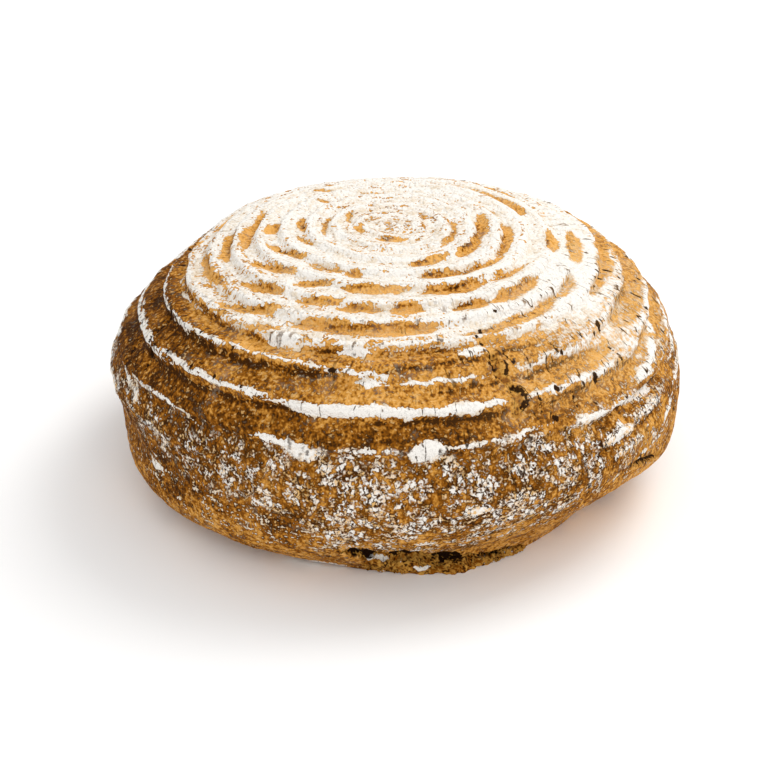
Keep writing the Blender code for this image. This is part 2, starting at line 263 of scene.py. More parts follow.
# Marks on the hidden side, drawn with a seed: first ring and the one after the last, and azimuths
HIDDEN_SEED = 7
HIDDEN_BARE = (5, 9, 12, 160)
HIDDEN_FLOUR = (8, 13, 2, 176)

# Uneven bumps of the crust: height and size, and how much higher the fine ones are where flour crackled
BROAD_BUMPS = (0.55 * MM, 14 * MM)
SMALL_BUMPS = (0.28 * MM, 5 * MM)
FINE_BUMPS = (0.16 * MM, 2.6 * MM)
CRACKLED_BUMPS = 0.18 * MM

# Heights of a flour line and of the lips of a tear, how far past its edge they stand and how wide they
# are, how softly the tear's wall bends, and the depth of a crack
LINE_HEIGHT = 0.5 * MM
LIP_HEIGHT = 0.35 * MM
LIP_OUT = 1.4 * MM
LIP_WIDTH = 1.0 * MM
TEAR_WALL = 0.9 * MM
CRACK_DEPTH = 0.8 * MM

# Sizes in the material: the flakes of crackled flour, how far and how often their edges wander, the
# grains from patches to grit, those that run round the rings and downhill, and the cracks' spacing
FLAKE = 1.85 * MM
FLAKE_WANDER = 2.4 * MM
FLAKE_WANDER_SIZE = 1.5 * MM
PATCH = 11 * MM
COARSE = 4.2 * MM
MOTTLE = 1.75 * MM
GRIT = 0.95 * MM
ROUND_GRAIN = 1.9 * MM
DOWNHILL_GRAIN = 1.2 * MM
CRACK_SPACING = 5.5 * MM
CRACK_PATCH = 5 * MM
NOTCH_SPACING = 4.6 * MM

# The grains of torn crumb, and how wide its patches of dust are
CRUMB_COARSE = 2.4 * MM
CRUMB_FINE = 1.1 * MM
CRUMB_DUST = 8 * MM

# How dark each tint of the bare crust stands, from pale to the darkest
TINT_PLACES = (0.0, 0.3, 0.62, 1.0)

# The mesh: rings of vertices, with fewer columns near the crown
COLUMNS_FROM = ((0.0, 72), (12 * MM, 144), (24 * MM, 288), (48 * MM, 576))
ROW_STEP = 1.25 * MM
FOOT_STEP = 0.85 * MM
FOOT_FROM = 163 * MM
FLOW_RADIUS = 100 * MM

# The flat base: how many vertices each ring has, and its share of the foot's radius
BASE_RINGS = ((288, 0.975), (144, 0.93), (72, 0.85), (36, 0.7), (36, 0.35), (1, 0.0))

# The camera, from the photograph
CAMERA_DISTANCE = 850 * MM
CAMERA_ELEVATION = 26.3
CAMERA_STAND = Vector((-2.5 * MM, 0.1 * MM, 55 * MM))
CAMERA_AIM = Vector((-4.6 * MM, -7.4 * MM, 39.8 * MM))
SENSOR = 36.0
LENS = 94.03
FAR_CLIP = 20.0

# The soft lights: where each stands, its width and its colour
KEY_LIGHT = ((0.75, 0.55, 1.25), 0.9, (1.0, 0.98, 0.95))
FILL_LIGHT = ((0.15, -1.35, 1.05), 1.0, (1.0, 1.0, 1.0))
LIGHTS_AIM = (0, 0, 0.05)
WHITE = (1.0, 1.0, 1.0, 1.0)

# From the middle of the rings to the middle of the loaf's box
LOAF_SHIFT = np.array((-2.57 * MM, -0.04 * MM, 0.0))


def smoothstep(value):
    """0 below 0, 1 above 1, and level at both ends."""
    value = np.clip(value, 0.0, 1.0)
    return value * value * (3 - 2 * value)


def plateau(value, low, rise, high, fall):
    """0 below low, 1 from low + rise to high, and 0 again beyond high + fall."""
    return smoothstep((value - low) / rise) * (1 - smoothstep((value - high) / fall))


def turn_from(azimuth, middle):
    """Degrees from a middle azimuth, between half a turn each way."""
    return (azimuth - middle + 180) % 360 - 180


def near(azimuth, middle, width):
    """1 at a middle azimuth, and less to both sides of it."""
    return np.exp(-((turn_from(azimuth, middle) / width) ** 2))


def in_metres(row, turns=1):
    """A row of degrees, then millimetres, with its lengths in metres."""
    return (*row[:turns], *(value * MM for value in row[turns:]))


def section(level):
    """Radius and height of the plain round form at levels."""
    angle = np.clip(level, 0, 1) * pi / 2
    low_angle = np.clip(level - 1, 0, 1) * pi / 2
    above = level <= 1
    radius = WAIST_RADIUS * np.sin(angle) ** (2 / DOME_ROUNDING[0])
    height = WAIST_HEIGHT + DOME_HEIGHT * np.maximum(0, np.cos(angle)) ** (2 / DOME_ROUNDING[1])
    spread = np.maximum(0, np.cos(low_angle)) ** (2 / FOOT_ROUNDING[0])
    low_radius = BASE_RADIUS + (WAIST_RADIUS - BASE_RADIUS) * spread
    low_height = WAIST_HEIGHT * (1 - np.sin(low_angle) ** (2 / FOOT_ROUNDING[1]))
    return np.where(above, radius, low_radius), np.where(above, height, low_height)


# Levels from the crown through the waist to the foot, with the arc from the crown at each
WAIST_INDEX = 1000
LEVELS = np.linspace(0, 2, 2 * WAIST_INDEX + 1)
SECTION_RADII, SECTION_HEIGHTS = section(LEVELS)
ARCS = np.concatenate(([0.0], np.cumsum(np.hypot(np.diff(SECTION_RADII), np.diff(SECTION_HEIGHTS)))))
FULL_ARC = float(ARCS[-1])


def wave_height(waves, azimuth):
    """Sum of some waves at azimuths in degrees."""
    return sum(height * MM * np.cos(lobes * np.radians(azimuth - high)) for lobes, height, high in waves)


def outward_unevenness(level, azimuth):
    """How far the free form stands outside the round one."""
    levels = [0.0, *OUTWARD_WAVES]
    total = 0.0
    for index, here in enumerate(levels[1:], start=1):
        weight = smoothstep((level - levels[index - 1]) / (here - levels[index - 1]))
        if index + 1 < len(levels):
            weight = weight * (1 - smoothstep((level - here) / (levels[index + 1] - here)))
        total = total + weight * wave_height(OUTWARD_WAVES[here], azimuth)
    return total


def free_form(arc, azimuth):
    """Points of the uneven form, without ridges or swells."""
    level = np.interp(arc, ARCS, LEVELS)
    radius, height = section(level)
    lift = height / (WAIST_HEIGHT + DOME_HEIGHT) * np.minimum(1.0, radius / WAIST_RADIUS) ** 1.5
    height = height + lift * wave_height(SHOULDER_WAVES, azimuth)
    radius = radius + outward_unevenness(level, azimuth)
    turn = np.radians(azimuth)
    return np.stack((radius * np.cos(turn), radius * np.sin(turn), height), axis=-1)


def place_on_form(azimuth, arc):
    """One point of the uneven form."""
    return free_form(np.array([arc]), np.array([azimuth]))[0]


def outward(arc, azimuth):
    """Directions straight out of the crust."""
    reach, turn = MM, 1.0
    downhill = free_form(np.minimum(FULL_ARC, arc + reach), azimuth)
    downhill = downhill - free_form(np.maximum(0.0, arc - reach), azimuth)
    along = free_form(arc, azimuth + turn) - free_form(arc, azimuth - turn)
    normal = np.cross(downhill, along)
    length = np.linalg.norm(normal, axis=-1, keepdims=True)
    return np.where(length > 0, normal / np.maximum(length, 1e-12), (0.0, 0.0, 1.0))


def ring_knots():
    """Arcs and the ring reached at each, with a last knot past the foot."""
    arcs = [FIRST_RIDGE + DOME_PITCH * step for step in range(-1, DOME_RIDGES)] + list(SIDE_RIDGES)
    last_step = SIDE_RIDGES[-1] - SIDE_RIDGES[-2]
    arcs += [SIDE_RIDGES[-1] + last_step * step for step in range(1, 5)]
    return np.array(arcs), np.arange(len(arcs), dtype=float)


RING_ARCS, RING_NUMBERS = ring_knots()


def ring_at(arc):
    """How many ridges lie between the crown and arcs, as a smooth number."""
    return np.interp(arc, RING_ARCS, RING_NUMBERS)


def wander(azimuth, ring):
    """How far the ridges have wandered, as a share of a ring."""
    turns, shares = zip(*RING_WANDER)
    start, length = WANDER_FADE
    return np.interp(turn_from(azimuth, 0), turns, shares) * (1 - smoothstep((ring - start) / length))


def noise_at(points, size, seed):
    """Smooth noise from -1 to 1 with features of a size, at points."""
    shift = Vector((seed * 7.3, seed * 3.1, seed * 5.7))
    scaled = points / size
    return np.array([noise.noise(Vector(point) + shift) for point in scaled])


def swell_relief(arc, azimuth):
    """Height of the swells and hollows."""
    total = 0.0
    for swell in SWELLS:
        middle, width, middle_arc, length, height = in_metres(swell, 2)
        along = np.exp(-(((arc - middle_arc) / length) ** 2))
        total = total + height * near(azimuth, middle, width) * along
    return total


def hidden_marks():
    """Bare marks and flour lines for the side away from the camera, drawn by rule."""
    draw = np.random.default_rng(HIDDEN_SEED)
    bare, flour = [], []
    first, last, start, end = HIDDEN_BARE
    for ring in range(first, last):
        azimuth = start + draw.uniform(0, 10)
        while azimuth < end:
            length = draw.uniform(14, 34)
            middle = ring + 0.28 - wander(azimuth, ring) + draw.uniform(-0.1, 0.1)
            if draw.random() < 0.72:
                tilt = draw.uniform(-0.16, 0.16)
                half_width = draw.uniform(0.15, 0.27)
                bare.append((azimuth, middle - tilt, azimuth + length, middle + tilt, half_width))
            azimuth += length * draw.uniform(0.85, 1.2)
    first, last, start, end = HIDDEN_FLOUR
    for ring in range(first, last):
        azimuth = start + draw.uniform(0, 8)
        while azimuth < end:
            length = draw.uniform(20, 50)
            middle = ring - 0.06 - wander(azimuth, ring)
            flour.append((azimuth, middle, azimuth + length, middle, draw.uniform(0.07, 0.13)))
            if ring < 11:
                bare.append((azimuth, middle + 0.5, azimuth + length, middle + 0.5, 0.36))
            azimuth += length * draw.uniform(0.9, 1.15)
    return tuple(bare), tuple(flour)


def across_mark(mark, azimuth, ring):
    """How far across a mark each place is, -1 at its uphill edge, and its depth inside in rings."""
    start, start_ring, end, end_ring, half_width = mark
    reach = (end - start) / 2
    along = turn_from(azimuth, (start + end) / 2) / reach
    across = ring - (start_ring + (end_ring - start_ring) * (np.clip(along, -1, 1) + 1) / 2)
    bluntness = 1.7 + reach / 7
    width = half_width * (1 - np.minimum(1.6, np.abs(along)) ** bluntness)
    return across / half_width, width - np.abs(across)


class Crust:
    """The crust's vertices, with all that shapes and colours them."""

    def __init__(self, settings):
        self.settings = settings
        self.lay_rings()
        self.base = free_form(self.arc, self.azimuth)
        self.normal = outward(self.arc, self.azimuth)
        self.ring = ring_at(self.arc)
        self.pitch = np.interp(self.ring, (9, 10), (DOME_PITCH, SIDE_PITCH))
        turn = np.radians(self.azimuth)
        self.flow = np.stack((FLOW_RADIUS * np.cos(turn), FLOW_RADIUS * np.sin(turn), self.arc), axis=-1)
        self.phase = self.ring + wander(self.azimuth, self.ring)
        self.find_marks()
        self.find_tears()
        self.find_pits()

    def lay_rings(self):
        """Azimuth and arc of every vertex, ring after ring, and each ring's first vertex and count."""
        rows = list(np.arange(ROW_STEP, FOOT_FROM, ROW_STEP))
        rows += list(np.linspace(rows[-1] + FOOT_STEP, FULL_ARC, round((FULL_ARC - rows[-1]) / FOOT_STEP)))
        rings = [(0.0, 1, 1.0)]
        for arc in rows:
            count = [columns for start, columns in COLUMNS_FROM if arc >= start][-1]
            rings.append((arc, count, 1.0))
        rings += [(FULL_ARC, count, inner) for count, inner in BASE_RINGS]
        self.rings, azimuths, arcs, inners = [], [], [], []
        first = 0
        for arc, count, inner in rings:
            self.rings.append((first, count))
            azimuths.append(np.arange(count) * 360.0 / count - 180.0)
            arcs.append(np.full(count, arc))
            inners.append(np.full(count, inner))
            first += count
        self.azimuth = np.concatenate(azimuths)
        self.arc = np.concatenate(arcs)
        self.inner = np.concatenate(inners)

    def find_marks(self):
        """The flour cover in millimetres inside its edge, the grooves of bare marks and the painted shade
        under their ridges.
        """
        hidden_bare, hidden_flour = hidden_marks()
        wobble = noise_at(self.base, 16 * MM, 1) * 0.08 + noise_at(self.base, 5 * MM, 2) * 0.09
        ring = self.ring + wobble * smoothstep(self.ring / 3)
        azimuth = self.azimuth + noise_at(self.base, 9 * MM, 3) * 1.8
        rings, covers = zip(*COVER_BY_RING)
        cover = np.interp(ring, rings, covers)
        self.dusty = near(azimuth, *DUSTY_SIDE) * plateau(ring, *DUSTY_RINGS)
        cover = cover + DUSTY_COVER * self.dusty
        cover = cover + THIN_COVER * near(azimuth, *THIN_SIDE) * plateau(ring, *THIN_RINGS)
        cover = cover + HEAVY_COVER * near(azimuth, *HEAVY_SIDE) * plateau(ring, *HEAVY_RINGS)
        self.groove = np.zeros(len(ring))
        self.shade_under_ridge = np.zeros(len(ring))
        for mark in (*BARE_MARKS, *hidden_bare):
            across, inside = across_mark(mark, azimuth, ring)
            depth = inside * self.pitch / MM
            cover = np.minimum(cover, np.maximum(-depth * 1.2, BARE_COVER))
            within = smoothstep(depth / 1.2 + 0.4)
            self.groove = np.maximum(self.groove, plateau(across, *GROOVE_WALL) * within)
            # Painted shade under the ridge, along each bare mark's uphill edge
            self.shade_under_ridge = np.maximum(self.shade_under_ridge, plateau(across, *RIDGE_SHADE_EDGE) * within)
        self.line = np.zeros(len(ring))
        for mark in (*FLOUR_MARKS, *hidden_flour):
            depth = across_mark(mark, azimuth, ring)[1] * self.pitch / MM
            cover = np.maximum(cover, np.minimum(depth * 1.4, THICK_COVER))
            self.line = np.maximum(self.line, smoothstep(depth / 1.3 + 0.35))
        self.cover = np.clip(cover, BARE_COVER - 0.3 + 1.7 * self.dusty, THICK_COVER)
        turns, starts, ends = zip(*CRACKLE_REACH)
        around = turn_from(azimuth, 0)
        start, end = np.interp(around, turns, starts), np.interp(around, turns, ends)
        rough = noise_at(self.base, 8 * MM, 14) * 0.5
        self.crackle = plateau(ring + rough, start, CRACKLE_FADE, end, CRACKLE_FADE)

    def find_tears(self):
        """Depths of the tears and of the burst along the foot, and how far inside each crack."""
        rough = noise_at(self.base, 4 * MM, 4) * 0.8 * MM
        self.split = np.zeros(len(self.arc))
        self.lip = np.zeros(len(self.arc))
        self.torn = np.zeros(len(self.arc))
        for away, width, depth in self.along_lines(TEARS):
            away = away + rough * 0.8
            inside = 1 - smoothstep((away - width * 0.6) / TEAR_WALL)
            self.split = np.maximum(self.split, depth * inside)
            self.torn = np.maximum(self.torn, 1 - smoothstep((away - width - TEAR_WALL / 3) / TEAR_WALL))
            self.lip = np.maximum(self.lip, np.exp(-(((away - width - LIP_OUT) / LIP_WIDTH) ** 2)))
        self.crack = np.full(len(self.arc), -2.0)
        for away, width, _ in self.along_lines(CRACKS):
            self.crack = np.maximum(self.crack, (width - away) / MM)
        self.burst, room = self.pockets(FOOT_BURST)
        self.crumb = smoothstep(room / 0.8 + 0.7)
        # The hollows under the lip, painted black as shade
        deep, self.cavity = self.pockets(FOOT_HOLLOWS)
        self.burst = self.burst + deep
        start, end, tall, low = TORN_FOOT
        share = (self.azimuth - start) / (end - start)
        edge = tall + (low - tall) * share + rough * 2
        below = smoothstep((edge - self.base[:, 2]) / TORN_EDGE) * plateau(share, *TORN_ENDS)
        self.crumb = np.maximum(self.crumb, below)

    def along_lines(self, lines):
        """For each stretch of some lines over the crust, how far off it lies and its measures there."""
        for line in lines:
            knots = [in_metres(knot) for knot in line]
            for start, end in zip(knots, knots[1:]):
                begin = place_on_form(*start[:2])
                step = place_on_form(*end[:2]) - begin
                share = np.clip((self.base - begin) @ step / (step @ step), 0, 1)
                away = np.linalg.norm(self.base - begin - share[:, None] * step, axis=1)
                width, depth = (start[at] + (end[at] - start[at]) * share for at in (2, -1))
                yield away, width, depth

    def pockets(self, table):
        """Depth of some pockets in the foot, and the room inside them from -1 to 1."""
        slope = radians(BURST_SLOPE)
        ragged = (noise_at(self.base, 5 * MM, 4) * 0.9 + noise_at(self.base, 2.2 * MM, 15) * 0.5) * MM
        depths, rooms = np.zeros(len(self.arc)), np.full(len(self.arc), -1.0)
        for middle, height, length, tall, depth in map(in_metres, table):
            reach = (BASE_RADIUS + 12 * MM) * np.radians(turn_from(self.azimuth, middle))
            rise = self.base[:, 2] - height
            along = (reach * cos(slope) - rise * sin(slope) + ragged) / (length / 2)
            across = (rise * cos(slope) + reach * sin(slope) + ragged) / (tall / 2)
            room = 1 - along**2 - across**2
            depths = np.maximum(depths, depth * np.clip(room * 2, 0, 1) ** 0.5)
            rooms = np.maximum(rooms, room)
        return depths, rooms

    def find_pits(self):
        """Depth of the deep pits and of small ones drawn with a seed, and how far inside each."""
        draw = np.random.default_rng(PIT_SEED)
        pits = list(DEEP_PITS)
        for _ in range(PIT_COUNT):
            pits.append(tuple(draw.uniform(low, high) for low, high in PIT_LIMITS))
        self.pits = np.zeros(len(self.arc))
        self.pit = np.full(len(self.arc), -1.0)
        radius = np.hypot(self.base[:, 0], self.base[:, 1])
        for azimuth, arc, width, length, depth in map(in_metres, pits):
            aside = radius * np.radians(turn_from(self.azimuth, azimuth)) / width
            along = (self.arc - arc) / length
            self.pits = np.maximum(self.pits, depth * np.exp(-(aside**2) - along**2))
            self.pit = np.maximum(self.pit, 1 - np.sqrt(aside**2 + along**2))

    def ring_relief(self):
        """Height of the cane ridges: each drops off downhill and climbs slowly to the next."""
        share = self.phase - np.floor(self.phase)
        profile = 0.5 - plateau(share, *RIDGE_HOLLOW)
        fade = smoothstep(self.arc / FIRST_RIDGE) * (1 - smoothstep((self.ring - 10.8) / 2.4))
        crown = 0.65 + 0.35 * smoothstep((self.ring - 2) / 2)
        return self.settings.ridge_height * fade * crown * profile

    def relief(self):
        """How far each vertex stands out of the free form."""
        height = swell_relief(self.arc, self.azimuth) + self.ring_relief()
        height = height - self.settings.groove_depth * self.groove + LINE_HEIGHT * self.line
        for (tall, size), seed in zip((BROAD_BUMPS, SMALL_BUMPS), (5, 6)):
            height = height + tall * noise_at(self.base, size, seed)
        tall, size = FINE_BUMPS
        height = height + (tall + CRACKLED_BUMPS * self.crackle) * noise_at(self.base, size, 7)
        height = height + LIP_HEIGHT * self.lip - self.split - self.pits
        height = height - CRACK_DEPTH * smoothstep((self.crack + 0.8) / 1.2)
        lumps = noise_at(self.base, 4.5 * MM, 10) * 1.9 + noise_at(self.base, 2.2 * MM, 16) * 1.5
        height = height + (0.3 * self.torn + self.crumb) * MM * lumps
        return height

    def points(self):
        """Every vertex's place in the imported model's frame."""
        move = self.normal * self.relief()[:, None]
        level = self.normal * np.array((1.0, 1.0, 0.0))
        level = level / np.maximum(np.linalg.norm(level, axis=1, keepdims=True), 1e-9)
        move = move - level * self.burst[:, None]
        foot = smoothstep((self.arc - FULL_ARC + LEVEL_FOOT) / LEVEL_FOOT)
        move[:, 2] *= 1 - foot
        placed = self.base + move
        placed[:, :2] *= self.inner[:, None]
        placed[self.arc >= FULL_ARC - 1e-9, 2] = 0.0
        placed[0, :2] = 0.0
        return placed

    def faces(self):
        """Quads between rings of equal count, and triangles where the count doubles or halves."""
        found = []
        for (first, count), (below, below_count) in zip(self.rings, self.rings[1:]):
            here = np.arange(count)
            after = (here + 1) % count
            if count == 1:
                low = np.arange(below_count)
                found += [(first, below + a, below + b) for a, b in zip(low, (low + 1) % below_count)]
            elif below_count == 1:
                found += [(first + a, below, first + b) for a, b in zip(here, after)]
            elif below_count == count:
                found += [(first + a, below + a, below + b, first + b) for a, b in zip(here, after)]
            elif below_count > count:
                for a, b in zip(here, after):
                    found.append((first + a, below + 2 * a, below + 2 * a + 1))
                    found.append((first + a, below + 2 * a + 1, first + b))
                    found.append((first + b, below + 2 * a + 1, below + 2 * b))
            else:
                for a in range(below_count):
                    b = (a + 1) % below_count
                    found.append((first + 2 * a, below + a, first + 2 * a + 1))
                    found.append((first + 2 * a + 1, below + a, below + b))
                    found.append((first + 2 * a + 1, below + b, first + 2 * b))
        return found

    def bake(self):
        """How dark the crust is, from 0 to 1: as it baked, with painted shade under each ridge, partly
        painted shade on the left and partly painted light on the right.
        """
        # Darker on the left and paler on the right: partly baked so, partly painted shade and painted light
        left, right = near(self.azimuth, *DARK_LEFT), near(self.azimuth, *PALE_RIGHT)
        band = smoothstep((self.ring - 7.6) / 1.6)
        side = smoothstep((self.ring - 10.2) / 1.2)
        front_ring, width = FRONT_BAND
        front = near(self.azimuth, *DARK_FRONT) * np.exp(-(((self.ring - front_ring) / width) ** 2))
        foot = smoothstep((self.ring - 12.9) / 1.5)
        dark = 0.18 + 0.45 * left * band + 0.2 * front + 0.2 * band - 0.25 * foot
        dark = dark + (0.42 - 0.4 * left - 0.25 * right) * side
        dark = dark + 0.2 * noise_at(self.base, 22 * MM, 8) + 0.2 * noise_at(self.base, 7 * MM, 9)
        # Painted shade under each ridge
        dark = dark + 0.3 * self.shade_under_ridge
        return np.clip(dark, 0, 1)

    def cracking(self):
        """How far the crust cracked downhill, from 0 at the crown to 1 on the right shoulder."""
        return smoothstep((self.ring - 5.5) / 2.5) * (0.45 + 0.55 * near(self.azimuth, *CRACKED_RIGHT))

    def crest(self):
        """How near the top of a cane ridge, from 0 to 1."""
        share = self.phase - np.floor(self.phase)
        return plateau(share, *RIDGE_CREST) + (share < CREST_OVER)

    def values(self):
        """What the material reads from each vertex, by name."""
        return {
            "cover": self.cover,
            "crackle": self.crackle,
            "bake": self.bake(),
            "pit": self.pit,
            "crack": self.crack,
            "cavity": self.cavity,
            "dusty": self.dusty,
            "brow": self.shade_under_ridge,
            "crest": np.maximum(self.crest(), self.line),
            "crumb": self.crumb,
            "torn": self.torn,
            "cracking": self.cracking(),
        }


def add_numbers(mesh, name, values):
    """Stores a number for each vertex."""
    attribute = mesh.attributes.new(name, "FLOAT", "POINT")
    attribute.data.foreach_set("value", np.ascontiguousarray(values, dtype=np.float32))


def add_vectors(mesh, name, values):
    """Stores a vector for each vertex."""
    attribute = mesh.attributes.new(name, "FLOAT_VECTOR", "POINT")
    attribute.data.foreach_set("vector", np.ascontiguousarray(values, dtype=np.float32).ravel())


class Shade:
    """A shader value. Arithmetic on it adds Math nodes, and on vectors Vector Math nodes."""

    def __init__(self, finish, socket):
        self.finish = finish
        self.socket = socket

    def math(self, operation, *others, clamp=False):
        """The result of a Math node on this value and others."""
        values = dict(enumerate((self, *others)))
        return self.finish.node("ShaderNodeMath", {"operation": operation, "use_clamp": clamp}, values)

    def __add__(self, other):
        return self.math("ADD", other)

    __radd__ = __add__

    def __sub__(self, other):
        return self.math("SUBTRACT", other)

    def __rsub__(self, other):
        return self.finish.node("ShaderNodeMath", {"operation": "SUBTRACT"}, {0: other, 1: self})

    def __mul__(self, other):
        return self.math("MULTIPLY", other)

    __rmul__ = __mul__

    def clipped(self):
        """Kept between 0 and 1."""
        return self.math("ADD", 0.0, clamp=True)

    def above(self, level, softness):
        """0 below a level and 1 above it, over a soft step."""
        return self.math("SUBTRACT", level).math("DIVIDE", softness).math("ADD", 0.5, clamp=True)

    def size(self):
        """Without its sign."""
        return self.math("ABSOLUTE")


class Finish:
    """A material whose nodes are added by expressions."""

    def __init__(self, name):
        self.material = bpy.data.materials.new(name)
        self.material.use_nodes = True
        self.tree = self.material.node_tree
        self.surface = self.tree.nodes["Principled BSDF"]

    def node(self, kind, settings=None, sockets=None, output=0):
        """Adds a node: its settings first, then the values or links of its sockets."""
        made = self.tree.nodes.new(kind)
        for name, value in (settings or {}).items():
            if name == "stops":
                self.set_stops(made.color_ramp, value)
            else:
                setattr(made, name, value)
        for name, value in (sockets or {}).items():
            self.feed(made.inputs[name], value)
        return Shade(self, made.outputs[output])

    def set_stops(self, ramp, stops):
        """Gives a colour ramp its stops."""
        while len(ramp.elements) < len(stops):
            ramp.elements.new(1.0)
        for element, (place, colour) in zip(ramp.elements, stops):
            element.position = place
            element.color = (*colour, 1.0)

    def feed(self, socket, value):
        """Links a shader value to a socket, or sets a plain one."""
        if isinstance(value, Shade):
            self.tree.links.new(value.socket, socket)
        elif hasattr(value, "__len__") and len(value) == 3 and socket.type == "RGBA":
            socket.default_value = (*value, 1.0)
        else:
            socket.default_value = value

    def stored(self, name, vector=False):
        """A value stored on the mesh."""
        return self.node("ShaderNodeAttribute", {"attribute_name": name}, output=1 if vector else 2)

    def scaled(self, vector, scale):
        """A vector times another, part by part."""
        return self.node("ShaderNodeVectorMath", {"operation": "MULTIPLY"}, {0: vector, 1: scale})

    def shifted(self, vector, other):
        """A vector plus another."""
        return self.node("ShaderNodeVectorMath", {"operation": "ADD"}, {0: vector, 1: other})

    def mixed(self, factor, first, second):
        """A colour between two."""
        return self.node("ShaderNodeMix", {"data_type": "RGBA"}, {0: factor, 6: first, 7: second}, output=2)

    def grain(self, vector, size, detail, roughness=0.55):
        """Noise about 0 with features of a size in metres, roughly between -1 and 1."""
        sockets = {"Vector": vector, "Scale": 1 / size, "Detail": detail, "Roughness": roughness}
        return (self.node("ShaderNodeTexNoise", None, sockets) - 0.5) * 5.0

    def cells(self, vector, size, feature, output=0):
        """Cells of a size: the distance to their edges, in sizes, or the tint of each."""
        sockets = {"Vector": vector, "Scale": 1 / size}
        return self.node("ShaderNodeTexVoronoi", {"feature": feature}, sockets, output)

    def dress(self, colour, roughness, height, gloss):
        """Gives the surface its colour, roughness, bumps of a height in millimetres and gloss."""
        relief = self.node("ShaderNodeBump", None, {"Strength": 1.0, "Distance": MM, "Height": height})
        self.feed(self.surface.inputs["Base Color"], colour)
        self.feed(self.surface.inputs["Roughness"], roughness)
        self.feed(self.surface.inputs["Normal"], relief)
        self.feed(self.surface.inputs["Specular IOR Level"], gloss)
        return self.material


